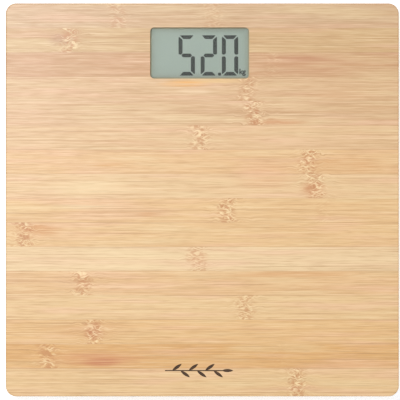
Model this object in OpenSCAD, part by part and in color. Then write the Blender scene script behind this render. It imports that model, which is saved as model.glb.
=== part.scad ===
// Digital bathroom scale: a laminated bamboo platform on four load-cell feet, with a display
// and battery unit let into its underside.
// Sizes are in millimetres. +Z is up, +Y is the display edge and -Y the edge a person steps
// on from. The origin is on the floor under the middle of the platform.

/* [Platform] */
// Width of the platform, left to right
platform_w = 300; // [250:1:380]
// Depth of the platform, front to back
platform_d = 300; // [250:1:380]
// Thickness of the laminated panel
platform_t = 12; // [10:0.5:20]
// Plan radius of the panel's corners
corner_r = 8; // [4:0.5:20]
// Radius of the rounded edges, top and bottom
edge_r = 1.2; // [0.4:0.1:3]
// Height of the panel's underside above the floor
ground_gap = 14; // [11.5:0.5:22]

/* [Front mark] */
// Length of the engraved sprig's stem
stem_l = 44; // [30:1:60]
// Width of the stem
stem_w = 0.8; // [0.5:0.1:1.5]
// Length of one leaf
leaf_l = 9; // [6:0.5:12]
// Width of one leaf at its middle
leaf_w = 2.4; // [1.5:0.1:3.5]
// Angle of the side leaves to the stem, in degrees
leaf_angle = 35; // [20:1:60]
// Depth of the engraving
mark_depth = 0.3; // [0.1:0.1:0.6]
// Wood between the panel's front edge and the stem
mark_edge = 19.8; // [14:0.2:30]

/* [Display window] */
// Width of the window cut through the panel
window_w = 75.5; // [62:0.5:92]
// Depth of the window cut through the panel
window_d = 39; // [32:0.5:48]
// Radius of the window's corners
window_r = 3.2; // [1:0.1:6]
// Wood between the panel's back edge and the window
window_edge = 18.5; // [16:0.5:26]
// Sideways offset of the window from the panel's middle
window_x = -2; // [-8:0.5:8]
// Wood left as a lip above the display's pocket
lip_t = 2.5; // [1.8:0.1:4]
// Depth of the lens below the panel's top
lens_recess = 1; // [0.3:0.1:1.5]

/* [Display] */
// Glass that the lens's lip hides on each side of the window
lcd_margin = 2.5; // [1.5:0.1:4]
// Bare contact ledge along the front of the front glass
lcd_ledge = 3.6; // [2.5:0.1:5]
// Thickness of each glass plate
glass_t = 1.1; // [0.7:0.1:1.5]
// Thickness of each polarising film
film_t = 0.2; // [0.1:0.05:0.3]
// Thickness of the lens's flange
lens_flange_t = 1; // [0.8:0.1:2]
// Thickness of the adhesive frame that holds the lens
gasket_t = 0.3; // [0.2:0.1:0.8]
// Wall of the frame round the glass
holder_wall = 1.2; // [0.8:0.1:2]
// Thickness of the circuit board
pcb_t = 1.2; // [0.8:0.1:1.6]
// Circuit board beyond the display holder at each side, where its screws go
pcb_margin = 5.5; // [5:0.1:9]

/* [Battery unit] */
// Diameter of one battery
battery_r = 5.25; // [4.5:0.05:7.25]
// Length of one battery with its button
battery_l = 44.5; // [36:0.5:54]
// Length of a battery spring with the battery in
spring_l = 5; // [4:0.1:7]
// How far the unit hangs below the panel
tray_drop = 8.5; // [7:0.1:10.5]
// Thickness of the unit's outer walls
tray_wall = 2; // [1.4:0.1:3]
// Thickness of the unit's floor
tray_floor = 2.2; // [2:0.1:3]
// Radius of the unit button
button_r = 4; // [3:0.1:6]
// Travel of the unit button
button_travel = 0.5; // [0.2:0.1:1]

/* [Feet] */
// Wall of a foot's housing
foot_wall = 2.2; // [1.6:0.1:3]
// Wood between a foot and the panel's edges
foot_margin = 8; // [5:0.5:14]
// Depth of the recess that a foot sits in
foot_recess = 4; // [3.5:0.1:5]
// Side of the square load cell
cell_w = 34; // [28:0.5:41]
// Thickness of the load cell's plate
cell_t = 2; // [1.5:0.1:3]
// Travel of a foot at its overload stop
foot_travel = 0.5; // [0.2:0.1:1]
// Thickness of the rubber pad
pad_t = 2; // [1.2:0.1:3.2]

/* [Wiring] */
// Diameter of one insulated wire
wire_d = 1.2; // [0.8:0.1:1.3]
// Width of the groove for one foot's three wires
groove_w = 5.4; // [5:0.1:8]
// Bend radius of the wires where a groove turns
groove_bend = 15; // [8:1:25]

/* [Hidden] */
$fn = 96;
EPS = 0.01;

// [name, side, end]: side is -1 at the left and 1 at the right, end is -1 at the front
FEET = [
    ["front_left", -1, -1],
    ["front_right", 1, -1],
    ["rear_left", -1, 1],
    ["rear_right", 1, 1]
];
FOOT_NODES = [
    "foot_housing_", "load_cell_", "strain_gauge_", "foot_cap_", "rubber_pad_", "wire_harness_"
];

// Heights, from the panel
board_bottom = ground_gap;
board_top = ground_gap + platform_t;
window_y = platform_d / 2 - window_edge - window_d / 2;

// Front mark: side leaves along the stem, and one at its end
mark_y = mark_edge - platform_d / 2;
side_leaves = 6;
leaf_pitch = stem_l / (side_leaves + 1);
leaf_arc = (leaf_l * leaf_l / leaf_w + leaf_w) / 4;

// Wiring heights: the wires lie in grooves just inside the panel's underside
wire_gap = 0.3;
wire_pitch = wire_d + 0.1;
wire_z = board_bottom + wire_gap + wire_d / 2;
wire_top = wire_z + wire_d / 2;
groove_h = 3;
tape_t = 0.2;
tape_size = [14, 9];

// Screws: head radius, head height, shank radius, pilot radius
tray_screw = [3, 1.8, 1.6, 1.1];
foot_screw = [2.6, 1.5, 1.4, 0.9];
pcb_screw = [1.8, 1.3, 1, 0.7];
screw_clearance = 0.2;
head_gap = 0.55;
wood_cover = 2;

// Feet, from the panel down: the housing is just wide enough for its cell and its screws
cell_corner = 4;
cell_gap = 0.3;
seat_w = 3;
seat_wall = 1.2;
seat_grip = 0.5;
seat_half = cell_w / 2 + cell_gap + seat_wall;
screw_circle = seat_half + head_gap + foot_screw[0];
foot_inner_r = screw_circle + foot_screw[0] + head_gap;
foot_r = foot_inner_r + foot_wall;
foot_x = platform_w / 2 - foot_margin - foot_r;
foot_y = platform_d / 2 - foot_margin - foot_r;
recess_gap = 0.3;
cell_headroom = 1.8;
cell_top = board_bottom;
cell_bottom = cell_top - cell_t;
plate_bottom = cell_top + cell_headroom;
plate_top = board_bottom + foot_recess;
plate_t = plate_top - plate_bottom;
tongue_slot = 2;
tongue_w = cell_w - 14;
tongue_root = cell_w / 2 - 8;
tongue_tip = cell_w / 2 - 7;
beam_w = 9;
beam_slot = [1.5, 10];
gauge_size = [8, 12, 0.8];

// Foot caps, from the floor up
pad_sunk = 0.8;
pad_rim = 5.8;
cap_bottom = pad_t - pad_sunk;
cap_flange_t = 3;
cap_flange_top = cap_bottom + cap_flange_t;
rim_bottom = cap_flange_top + foot_travel + 0.3;
cap_edge = 0.6;
cap_r = foot_r - 0.6;
skirt_gap = 0.6;
skirt_t = 1.8;
skirt_top = cell_bottom - foot_travel - 0.7;
hub_r = 4;
load_bar = [tongue_w - 4, 3.6];
load_bar_y = load_bar[1] / 2 + 0.7 - tongue_tip;
cap_rib_t = 1.4;
cap_rib_h = 2.6;
cap_ribs = 6;
lug_w = 6;
lug_h = 1.2;
lug_bottom = rim_bottom + 1.5;
lug_reach = foot_wall * 0.6;
slot_gap = 0.5;

// Display stack, from the lens down
pocket_gap = 0.3;
pocket_top = board_top - lip_t;
lens_bottom = pocket_top - gasket_t - lens_flange_t;
lens_top = board_top - lens_recess;
lens_gap = 0.25;
lens_edge = 0.3;
lcd_air = 0.2;
lcd_top = lens_bottom - lcd_air;
front_glass_top = lcd_top - film_t;
rear_glass_top = front_glass_top - glass_t;
rear_glass_bottom = rear_glass_top - glass_t;
lcd_bottom = rear_glass_bottom - film_t;
lcd_w = window_w + 2 * lcd_margin;
rear_glass_d = window_d + 2 * lcd_margin;
front_glass_d = rear_glass_d + lcd_ledge;
front_glass_y = window_y - lcd_ledge / 2;
film_margin = 1;
holder_gap = 0.15;
holder_w = lcd_w + 2 * (holder_gap + holder_wall);
holder_d = front_glass_d + 2 * (holder_gap + holder_wall);
holder_ledge = 2;
zebra_t = 2;
peg_r = 1;
peg_gap = 0.1;
peg_head = [1.7, 0.6];

// Circuit board, its chamber and the battery bay. The board is wide enough for the display
// holder, and for the wires that pass on each side of the bay.
contact_t = 0.4;
dimple_h = 0.7;
bay_w = battery_l + spring_l + dimple_h + 2 * contact_t;
divider_t = 1.5;
side_room = 19.5;
pcb_bottom = wire_top + 0.1;
pcb_top = pcb_bottom + pcb_t;
pcb_w = max(holder_w + 2 * pcb_margin, bay_w + 2 * (divider_t + side_room));
pcb_d = holder_d;
pcb_y = front_glass_y;
pcb_gap = 0.5;
pad_inset = 4;
chamber_w = pcb_w + 2 * pcb_gap;
chamber_front = pcb_y - pcb_d / 2 - pcb_gap;
chamber_back = pcb_y + pcb_d / 2 + pcb_gap;
battery_gap = 0.6;
battery_lift = 0.2;
bay_d = 4 * battery_r + 3 * battery_gap;
bay_back = chamber_front - divider_t;
bay_front = bay_back - bay_d;
bay_roof_t = 1.4;
tray_bottom = board_bottom - tray_drop;
floor_top = tray_bottom + tray_floor;
battery_z = floor_top + battery_lift + battery_r;
bay_roof = battery_z + battery_r + 0.3;
tray_top = bay_roof + bay_roof_t;
tray_w = chamber_w + 2 * tray_wall;
tray_front = bay_front - tray_wall;
tray_back = chamber_back + tray_wall;
tray_r = 2.5;
battery_ys = [bay_front + battery_gap + battery_r, bay_back - battery_gap - battery_r];

// Battery door: a plate with side tongues that run in grooves in the tray's floor
door_gap = 0.1;
door_t = tray_floor - 0.2;
door_opening_w = bay_w - 0.4;
tongue_reach = 1.3;
tongue_t = 0.7;
tongue_z = 0.9;
grip_ridges = 5;
grip_size = [16, 0.8, 0.5];
grip_pitch = 1.8;
grip_y = 5;

// Ears, bosses and how far their screws bite
ear_r = 4.8;
ear_t = 2;
ear_inset = 6;
ear_ys = [tray_front + ear_inset, tray_back - ear_inset];
tray_screw_bite = platform_t - 2 * wood_cover;
foot_screw_bite = platform_t - foot_recess - wood_cover;
pcb_screw_bite = 5;
boss_r = 2.6;
boss_x = pcb_w / 2 - 2.4;
boss_y = pcb_d / 2 - 5;

// Unit button, its switch and its guide
button_x = 18;
button_y = window_y + 8;
button_gap = 0.2;
button_flange = [1.3, 1];
button_recess = 0.2;
guide_wall = 1.4;
guide_h = 2.4;
switch_size = [6, 6, 3.5];
plunger_r = 1.7;
plunger_out = 0.7;
plunger_in = 0.8;
switch_bottom = pcb_bottom - switch_size[2];

// Wire routes: across the side compartments beside the bay, then up under the circuit board
harness_y = (bay_front + bay_back) / 2;
turn_bend = 5;
turn_u = boss_x - boss_r - wire_pitch - wire_d / 2 - 1.2;
lead_pitch = 2.4;
lead_x = bay_w / 2 + divider_t + 2;
lead_end = chamber_front + pcb_gap + pad_inset;
tab_t = 0.4;
tab_w = 2;
solder_r = [0.35, 0.6];
solder_gap = 0.02;

module rounded_rect(w, d, r) {
    square([w - 2 * r, d], center = true);
    square([w, d - 2 * r], center = true);
    for (x = [-1, 1])
        for (y = [-1, 1])
            translate([x * (w / 2 - r), y * (d / 2 - r)])
                circle(r = r);
}

module rounded_plate(w, d, h, r) {
    linear_extrude(height = h)
        rounded_rect(w, d, r);
}

// Section of the panel's rim, r wide from the straight inner face to the rounded outer one
module rim_section(r, h, e) {
    square([r - e, h]);
    translate([0, e])
        square([r, h - 2 * e]);
    for (z = [e, h - e])
        translate([r - e, z])
            circle(r = e);
}

// A slab with rounded corners and rounded edges, built from blocks that meet face to face
module rounded_slab(w, d, h, r, e) {
    translate([-(w / 2 - r), -(d / 2 - r), 0])
        cube([w - 2 * r, d - 2 * r, h]);
    for (turn = [0:3]) {
        length = turn % 2 == 0 ? d - 2 * r : w - 2 * r;
        reach = turn % 2 == 0 ? w / 2 - r : d / 2 - r;
        rotate(90 * turn)
            translate([reach, length / 2, 0])
                rotate([90, 0, 0])
                    linear_extrude(height = length)
                        rim_section(r, h, e);
        rotate(90 * turn)
            translate([reach, length / 2, 0])
                rotate_extrude(angle = 90)
                    rim_section(r, h, e);
    }
}

// A blunt screw, head down at z = 0: size is head radius, head height, shank radius, pilot radius
module screw(size, length) {
    difference() {
        union() {
            translate([0, 0, -size[1]])
                cylinder(r1 = size[0] * 0.85, r2 = size[0], h = size[1] * 0.5);
            translate([0, 0, -size[1] * 0.5])
                cylinder(r = size[0], h = size[1] * 0.5);
            cylinder(r = size[2], h = length - size[2]);
            translate([0, 0, length - size[2]])
                cylinder(r1 = size[2], r2 = size[2] * 0.3, h = size[2]);
        }
        for (turn = [0, 90])
            rotate(turn)
                translate([-size[0] * 0.55, -size[0] * 0.12, -size[1] - EPS])
                    cube([size[0] * 1.1, size[0] * 0.24, size[1] * 0.6]);
    }
}

// Puts its children at a foot, turned so that local +Y is the way the wires leave
module at_foot(foot) {
    way_out = foot[2] < 0 ? 0 : 90 * foot[1];
    translate([foot[1] * foot_x, foot[2] * foot_y, 0])
        rotate(way_out)
            children();
}

module at_foot_screws() {
    for (angle = [0, 180, 270])
        rotate(angle)
            translate([screw_circle, 0, 0])
                children();
}

module at_lugs() {
    for (angle = [45:90:315])
        rotate(angle)
            children();
}

module at_ears() {
    for (x = [-1, 1])
        for (y = ear_ys)
            translate([window_x + x * (tray_w / 2 + ear_r), y, 0])
                children();
}

module at_pcb_corners(x, y) {
    for (side = [-1, 1])
        for (end = [-1, 1])
            translate([window_x + side * x, pcb_y + end * y, 0])
                children();
}

// ---- Platform -----------------------------------------------------------------------------

// The groove for one foot's wires, from the foot's recess to the tray's pocket
module groove(foot) {
    pocket_u = foot[1] * window_x + tray_w / 2;
    mirror([foot[1] < 0 ? 1 : 0, 0, 0])
        translate([0, 0, board_bottom - EPS])
            if (foot[2] > 0) {
                translate([pocket_u, foot_y - groove_w / 2, 0])
                    cube([foot_x - pocket_u, groove_w, groove_h + EPS]);
            } else {
                translate([foot_x - groove_w / 2, -foot_y, 0])
                    cube([groove_w, foot_y + harness_y - groove_bend, groove_h + EPS]);
                translate([foot_x - groove_bend, harness_y - groove_bend, 0])
                    rotate_extrude(angle = 90)
                        translate([groove_bend - groove_w / 2, 0])
                            square([groove_w, groove_h + EPS]);
                translate([pocket_u, harness_y - groove_w / 2, 0])
                    cube([foot_x - groove_bend - pocket_u, groove_w, groove_h + EPS]);
            }
}

// One leaf along +X from the origin, where two arcs cross
module leaf() {
    intersection() {
        translate([leaf_l / 2, leaf_w / 2 - leaf_arc, 0])
            cylinder(r = leaf_arc, h = 2 * mark_depth);
        translate([leaf_l / 2, leaf_arc - leaf_w / 2, 0])
            cylinder(r = leaf_arc, h = 2 * mark_depth);
    }
}

module front_mark() {
    translate([window_x - leaf_l / 2, mark_y, board_top - mark_depth]) {
        rounded_plate(stem_l, stem_w, 2 * mark_depth, stem_w / 2 - EPS);
        translate([stem_l / 2 - stem_w, 0, 0])
            leaf();
        for (i = [1:side_leaves])
            translate([i * leaf_pitch - stem_l / 2 - stem_w, 0, 0])
                rotate([0, 0, (i % 2 * 2 - 1) * leaf_angle])
                    leaf();
    }
}

module platform_board() {
    color("burlywood")
        difference() {
            translate([0, 0, board_bottom])
                rounded_slab(platform_w, platform_d, platform_t, corner_r, edge_r);
            translate([window_x, window_y, board_bottom - 1])
                rounded_plate(window_w, window_d, platform_t + 2, window_r);
            translate([window_x, (tray_front + tray_back) / 2, board_bottom - EPS])
                rounded_plate(
                    tray_w + 2 * pocket_gap, tray_back - tray_front + 2 * pocket_gap,
                    tray_top + pocket_gap - board_bottom + EPS, tray_r + pocket_gap
                );
            translate([window_x, front_glass_y, board_bottom])
                rounded_plate(
                    holder_w + 2 * pocket_gap, holder_d + 2 * pocket_gap,
                    pocket_top - board_bottom, window_r
                );
            for (foot = FEET) {
                at_foot(foot) {
                    translate([0, 0, board_bottom - EPS])
                        cylinder(r = foot_r + recess_gap, h = foot_recess + EPS);
                    at_foot_screws()
                        translate([0, 0, plate_top - EPS])
                            cylinder(r = foot_screw[3], h = foot_screw_bite);
                }
                groove(foot);
            }
            at_ears()
                translate([0, 0, board_bottom - EPS])
                    cylinder(r = tray_screw[3], h = tray_screw_bite);
            front_mark();
        }
}

// ---- Display ------------------------------------------------------------------------------

module lens() {
    color("lightcyan")
        union() {
            translate([window_x, front_glass_y, lens_bottom])
                rounded_plate(holder_w, holder_d, lens_flange_t, window_r);
            translate([window_x, window_y, lens_bottom])
                rounded_plate(
                    window_w - 2 * lens_gap, window_d - 2 * lens_gap,
                    lens_top - lens_bottom - lens_edge, window_r - lens_gap
                );
            translate([window_x, window_y, lens_bottom])
                rounded_plate(
                    window_w - 2 * lens_gap - 2 * lens_edge,
                    window_d - 2 * lens_gap - 2 * lens_edge,
                    lens_top - lens_bottom, window_r - lens_gap - lens_edge
                );
        }
}

module lens_gasket() {
    color("dimgray")
        translate([window_x, 0, lens_bottom + lens_flange_t])
            difference() {
                translate([0, front_glass_y, 0])
                    rounded_plate(holder_w - 1, holder_d - 1, gasket_t, window_r - 0.5);
                translate([0, window_y, -1])
                    rounded_plate(window_w + 1, window_d + 1, gasket_t + 2, window_r + 0.5);
            }
}

module film(z) {
    translate([window_x - lcd_w / 2 + film_margin, window_y - rear_glass_d / 2 + film_margin, z])
        cube([lcd_w - 2 * film_margin, rear_glass_d - 2 * film_margin, film_t]);
}

module front_polariser() {
    color("darkseagreen")
        film(front_glass_top);
}

module front_glass() {
    color("honeydew")
        translate([window_x - lcd_w / 2, front_glass_y - front_glass_d / 2, rear_glass_top])
            cube([lcd_w, front_glass_d, glass_t]);
}

module rear_glass() {
    color("honeydew")
        translate([window_x - lcd_w / 2, window_y - rear_glass_d / 2, rear_glass_bottom])
            cube([lcd_w, rear_glass_d, glass_t]);
}

module rear_reflector() {
    color("silver")
        film(lcd_bottom);
}

// The zebra strip's slot, grown by gap on every side
module zebra_block(gap, z, h) {
    length = lcd_w - 6;
    front = front_glass_y - front_glass_d / 2 + 0.6;
    translate([window_x - length / 2 - gap, front - gap, z])
        cube([length + 2 * gap, zebra_t + 2 * gap, h]);
}

module zebra_strip() {
    color("slategray")
        zebra_block(0, pcb_top, rear_glass_top - pcb_top);
}

module lcd_holder() {
    color("whitesmoke")
        difference() {
            union() {
                translate([window_x, front_glass_y, pcb_top])
                    rounded_plate(holder_w, holder_d, lcd_top - pcb_top, window_r);
                at_pcb_corners(holder_w / 2 - 3, holder_d / 2 - 8) {
                    translate([0, 0, pcb_bottom - EPS])
                        cylinder(r = peg_r, h = pcb_t + 2 * EPS);
                    translate([0, 0, pcb_bottom - peg_head[1]])
                        cylinder(r1 = peg_r, r2 = peg_head[0], h = peg_head[1]);
                }
            }
            translate([
                window_x - lcd_w / 2 - holder_gap,
                front_glass_y - front_glass_d / 2 - holder_gap,
                rear_glass_top
            ])
                cube([lcd_w + 2 * holder_gap, front_glass_d + 2 * holder_gap, 2 * glass_t]);
            translate([
                window_x - lcd_w / 2 - holder_gap,
                window_y - rear_glass_d / 2 - holder_gap,
                lcd_bottom
            ])
                cube([lcd_w + 2 * holder_gap, rear_glass_d + 2 * holder_gap, 2 * glass_t]);
            translate([
                window_x - lcd_w / 2 + holder_ledge,
                window_y - rear_glass_d / 2 + holder_ledge,
                pcb_top - 1
            ])
                cube([
                    lcd_w - 2 * holder_ledge, rear_glass_d - 2 * holder_ledge,
                    lcd_bottom - pcb_top + 2
                ]);
            zebra_block(0.1, pcb_top - 1, rear_glass_top - pcb_top + 2);
        }
}

// ---- Electronics --------------------------------------------------------------------------

module circuit_board() {
    color("darkgreen")
        difference() {
            translate([window_x, pcb_y, pcb_bottom])
                rounded_plate(pcb_w, pcb_d, pcb_t, 1.5);
            at_pcb_corners(boss_x, boss_y)
                translate([0, 0, pcb_bottom - 1])
                    cylinder(r = pcb_screw[2] + screw_clearance, h = pcb_t + 2);
            at_pcb_corners(holder_w / 2 - 3, holder_d / 2 - 8)
                translate([0, 0, pcb_bottom - 1])
                    cylinder(r = peg_r + peg_gap, h = pcb_t + 2);
        }
}

// The epoxy drop over the bonded controller chip, hanging under the board
module controller_blob() {
    drop_r = 6;
    drop_h = 1.6;
    ball_r = (drop_r * drop_r + drop_h * drop_h) / (2 * drop_h);
    color([0.07, 0.07, 0.08])
        translate([window_x - 14, window_y - 4, pcb_bottom])
            intersection() {
                translate([0, 0, ball_r - drop_h])
                    sphere(r = ball_r);
                translate([-drop_r, -drop_r, -drop_h - 1])
                    cube([2 * drop_r, 2 * drop_r, drop_h + 1]);
            }
}

module crystal() {
    can = [8, 3, 2.4];
    color("silver")
        translate([window_x - 2, window_y - 12, pcb_bottom - can[2]])
            rounded_plate(can[0], can[1], can[2], can[1] / 2 - EPS);
}

module capacitor() {
    can_r = 2.5;
    can_h = 5;
    color("midnightblue")
        translate([window_x - 32, window_y + 8, pcb_bottom - can_h])
            cylinder(r = can_r, h = can_h);
}

// Surface-mounted resistors and capacitors in two rows under the board
module chip_resistors() {
    chip = [2, 1.25, 0.55];
    color([0.12, 0.11, 0.1])
        for (column = [0:4])
            for (row = [0:1])
                translate([
                    window_x - 1 + 3.6 * column, window_y - 2 - 3 * row, pcb_bottom - chip[2]
                ])
                    cube(chip);
}

module switch_body() {
    color("dimgray")
        translate([window_x + button_x, button_y, 0])
            difference() {
                translate([-switch_size[0] / 2, -switch_size[1] / 2, switch_bottom])
                    cube(switch_size);
                translate([0, 0, switch_bottom - EPS])
                    cylinder(r = plunger_r + 0.15, h = plunger_in + button_travel + 0.2);
            }
}

module switch_plunger() {
    color("black")
        translate([window_x + button_x, button_y, switch_bottom - plunger_out])
            cylinder(r = plunger_r, h = plunger_out + plunger_in);
}

module unit_button() {
    reach = switch_bottom - plunger_out - tray_bottom - button_recess;
    dish_r = 3.2 * button_r;
    dish_h = 0.35;
    color("gainsboro")
        translate([window_x + button_x, button_y, tray_bottom + button_recess])
            difference() {
                union() {
                    cylinder(r = button_r, h = reach);
                    translate([0, 0, tray_floor - button_recess + 0.1])
                        cylinder(r = button_r + button_flange[0], h = button_flange[1]);
                }
                translate([0, 0, dish_h - dish_r])
                    sphere(r = dish_r);
            }
}

// ---- Battery and electronics tray ---------------------------------------------------------

module notch(x, y, w, d) {
    translate([x - w / 2, y - d / 2, board_bottom])
        cube([w, d, tray_top]);
}

module tray_shell() {
    tray_d = tray_back - tray_front;
    difference() {
        union() {
            translate([window_x, (tray_front + tray_back) / 2, tray_bottom])
                rounded_plate(tray_w, tray_d, tray_top - tray_bottom, tray_r);
            at_ears()
                translate([0, 0, board_bottom - ear_t])
                    cylinder(r = ear_r, h = ear_t);
            for (y = ear_ys)
                translate([window_x - tray_w / 2 - ear_r, y - ear_r, board_bottom - ear_t])
                    cube([tray_w + 2 * ear_r, 2 * ear_r, ear_t]);
        }
        translate([window_x - chamber_w / 2, chamber_front, floor_top])
            cube([chamber_w, chamber_back - chamber_front, tray_top]);
        for (side = [-1, 1])
            translate([
                side < 0 ? window_x - chamber_w / 2 : window_x + bay_w / 2 + divider_t,
                bay_front, floor_top
            ])
                cube([chamber_w / 2 - bay_w / 2 - divider_t, bay_d, tray_top]);
        translate([window_x - bay_w / 2, bay_front, floor_top - EPS])
            cube([bay_w, bay_d, bay_roof - floor_top + EPS]);
    }
}

// The door's opening, its side grooves and their way out through the front
module door_way() {
    length = bay_back - tray_front;
    translate([window_x - door_opening_w / 2, tray_front - 1, tray_bottom - 1])
        cube([door_opening_w, length + 1, tray_floor + 1]);
    translate([
        window_x - door_opening_w / 2 - tongue_reach - door_gap, tray_front - 1,
        tray_bottom + tongue_z - door_gap
    ])
        cube([
            door_opening_w + 2 * (tongue_reach + door_gap), length + 1,
            tongue_t + 2 * door_gap
        ]);
}

module electronics_tray() {
    color("whitesmoke")
        difference() {
            union() {
                tray_shell();
                at_pcb_corners(boss_x, boss_y)
                    translate([0, 0, floor_top - EPS])
                        cylinder(r = boss_r, h = pcb_bottom - floor_top + EPS);
                translate([window_x + button_x, button_y, floor_top - EPS])
                    cylinder(
                        r = button_r + button_flange[0] + button_gap + guide_wall,
                        h = guide_h
                    );
            }
            door_way();
            translate([window_x + button_x, button_y, tray_bottom - 1])
                cylinder(r = button_r + button_gap, h = tray_floor + 2);
            translate([window_x + button_x, button_y, floor_top])
                cylinder(r = button_r + button_flange[0] + button_gap, h = guide_h + 1);
            at_pcb_corners(boss_x, boss_y)
                translate([0, 0, pcb_bottom - pcb_screw_bite - 0.5])
                    cylinder(r = pcb_screw[3], h = pcb_screw_bite + 1);
            at_ears()
                translate([0, 0, board_bottom - ear_t - 1])
                    cylinder(r = tray_screw[2] + screw_clearance, h = ear_t + 2);
            for (side = [-1, 1]) {
                wall_x = window_x + side * (chamber_w / 2 + tray_wall / 2);
                notch(wall_x, foot_y, tray_wall + 2 * EPS, groove_w);
                notch(wall_x, harness_y, tray_wall + 2 * EPS, groove_w);
                notch(
                    window_x + side * turn_u, chamber_front - divider_t / 2,
                    groove_w, divider_t + 2 * EPS
                );
            }
            notch(
                window_x + lead_x + lead_pitch / 2, chamber_front - divider_t / 2,
                lead_pitch + wire_d + 0.6, divider_t + 2 * EPS
            );
            for (y = battery_ys)
                translate([
                    window_x + bay_w / 2 - EPS, y - tab_w / 2 - 0.2, wire_z - tab_t / 2 - 0.2
                ])
                    cube([divider_t + 2 * EPS, tab_w + 0.4, tab_t + 0.4]);
        }
}

module battery_door() {
    length = bay_back - door_gap - tray_front;
    color("whitesmoke")
        difference() {
            union() {
                translate([
                    window_x - door_opening_w / 2 + door_gap, tray_front, tray_bottom
                ])
                    cube([door_opening_w - 2 * door_gap, length, door_t]);
                translate([
                    window_x - door_opening_w / 2 - tongue_reach, tray_front,
                    tray_bottom + tongue_z
                ])
                    cube([door_opening_w + 2 * tongue_reach, length, tongue_t]);
            }
            for (ridge = [0:grip_ridges - 1])
                translate([
                    window_x - grip_size[0] / 2, tray_front + grip_y + grip_pitch * ridge,
                    tray_bottom - EPS
                ])
                    cube(grip_size);
        }
}

// One battery lying along X, its button towards +X when way is 1
module battery(y, way) {
    button = [1.9, 1];
    edge = 0.4;
    reach = bay_w / 2 - contact_t - dimple_h;
    body_l = battery_l - button[1];
    translate([window_x, y, battery_z])
        rotate([0, 90, way > 0 ? 0 : 180])
            translate([0, 0, reach - battery_l]) {
                cylinder(r1 = battery_r - edge, r2 = battery_r, h = edge);
                translate([0, 0, edge])
                    cylinder(r = battery_r, h = body_l - 2 * edge);
                translate([0, 0, body_l - edge])
                    cylinder(r1 = battery_r, r2 = battery_r - edge, h = edge);
                translate([0, 0, body_l])
                    cylinder(r = button[0], h = button[1]);
            }
}

module battery_front() {
    color("goldenrod")
        battery(battery_ys[0], -1);
}

module battery_rear() {
    color("goldenrod")
        battery(battery_ys[1], 1);
}

// A conical coil as one swept tube: base radius, tip radius, length, wire radius and turns
module conical_spring(base_r, tip_r, length, wire_r, turns) {
    steps = 14 * turns;
    sides = 6;
    points = [
        for (i = [0:steps])
            let (
                share = i / steps,
                angle = 360 * turns * share,
                r = base_r + (tip_r - base_r) * share,
                z = wire_r + (length - 2 * wire_r) * share
            )
            for (k = [0:sides - 1])
                let (
                    around = 360 * k / sides,
                    out = r + wire_r * cos(around)
                )
                [out * cos(angle), out * sin(angle), z + wire_r * sin(around)]
    ];
    sweep_faces = [
        for (i = [0:steps - 1])
            for (k = [0:sides - 1])
                let (next = (k + 1) % sides)
                [
                    i * sides + k, i * sides + next,
                    (i + 1) * sides + next, (i + 1) * sides + k
                ]
    ];
    start_cap = [for (k = [sides - 1:-1:0]) k];
    end_cap = [for (k = [0:sides - 1]) steps * sides + k];
    polyhedron(points = points, faces = concat(sweep_faces, [start_cap], [end_cap]));
}

module battery_springs() {
    base_r = battery_r - 1.4;
    tip_r = battery_r - 2.6;
    wire_r = 0.3;
    turns = 4;
    touch = 0.02;
    color("silver")
        for (side = [1, -1])
            translate([
                window_x + side * (bay_w / 2 - contact_t - touch),
                side > 0 ? battery_ys[0] : battery_ys[1], battery_z
            ])
                rotate([0, -90 * side, 0])
                    conical_spring(base_r, tip_r, spring_l - 2 * touch, wire_r, turns);
}

// A contact plate against one end of the bay, over the batteries from y_from to y_to
module contact_plate(side, y_from, y_to) {
    half = battery_r - 0.8;
    inner = side > 0 ? bay_w / 2 - contact_t : -bay_w / 2;
    translate([window_x + inner, y_from - half, battery_z - half])
        cube([contact_t, y_to - y_from + 2 * half, 2 * half]);
}

// The raised dimple that meets a battery's button
module contact_dimple(side, y) {
    translate([window_x + side * (bay_w / 2 - contact_t), y, battery_z])
        rotate([0, -90 * side, 0])
            cylinder(r1 = 2, r2 = 1.4, h = dimple_h);
}

// The solder tab that reaches through the bay's end wall
module contact_tab(y, reach) {
    translate([window_x + bay_w / 2 - EPS, y - tab_w / 2, wire_z - tab_t / 2])
        cube([reach - bay_w / 2 + EPS, tab_w, tab_t]);
}

module contact_bridge() {
    color("silver")
        union() {
            contact_plate(-1, battery_ys[0], battery_ys[1]);
            contact_dimple(-1, battery_ys[0]);
        }
}

module contact_positive() {
    color("silver")
        union() {
            contact_plate(1, battery_ys[1], battery_ys[1]);
            contact_dimple(1, battery_ys[1]);
            contact_tab(battery_ys[1], lead_x + tab_w / 2);
        }
}

module contact_negative() {
    color("silver")
        union() {
            contact_plate(1, battery_ys[0], battery_ys[0]);
            contact_tab(battery_ys[0], lead_x + lead_pitch + tab_w / 2);
        }
}

// ---- Wires --------------------------------------------------------------------------------

// A straight run of wire from a point, towards an angle in plan
module wire_run(x, y, angle, length) {
    translate([x, y, wire_z])
        rotate(angle)
            rotate([0, 90, 0])
                cylinder(d = wire_d, h = length);
}

// A quarter turn of wire about a point, starting at an angle in plan
module wire_bend(x, y, radius, start) {
    translate([x, y, wire_z])
        rotate(start)
            rotate_extrude(angle = 90)
                translate([radius, 0])
                    circle(d = wire_d, $fn = 24);
}

module battery_leads() {
    color("crimson")
        for (lead = [0, 1])
            wire_run(
                window_x + lead_x + lead_pitch * (1 - lead), battery_ys[lead] + tab_w / 2, 90,
                lead_end - battery_ys[lead] - tab_w / 2
            );
}

// Where a rear foot's wires end under the circuit board
function rear_end_u(foot) = foot[1] * window_x + pcb_w / 2 - pad_inset;

// Where a front foot's wires turn in beside the battery bay
function front_end_u(foot) = foot[1] * window_x + turn_u;

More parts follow.
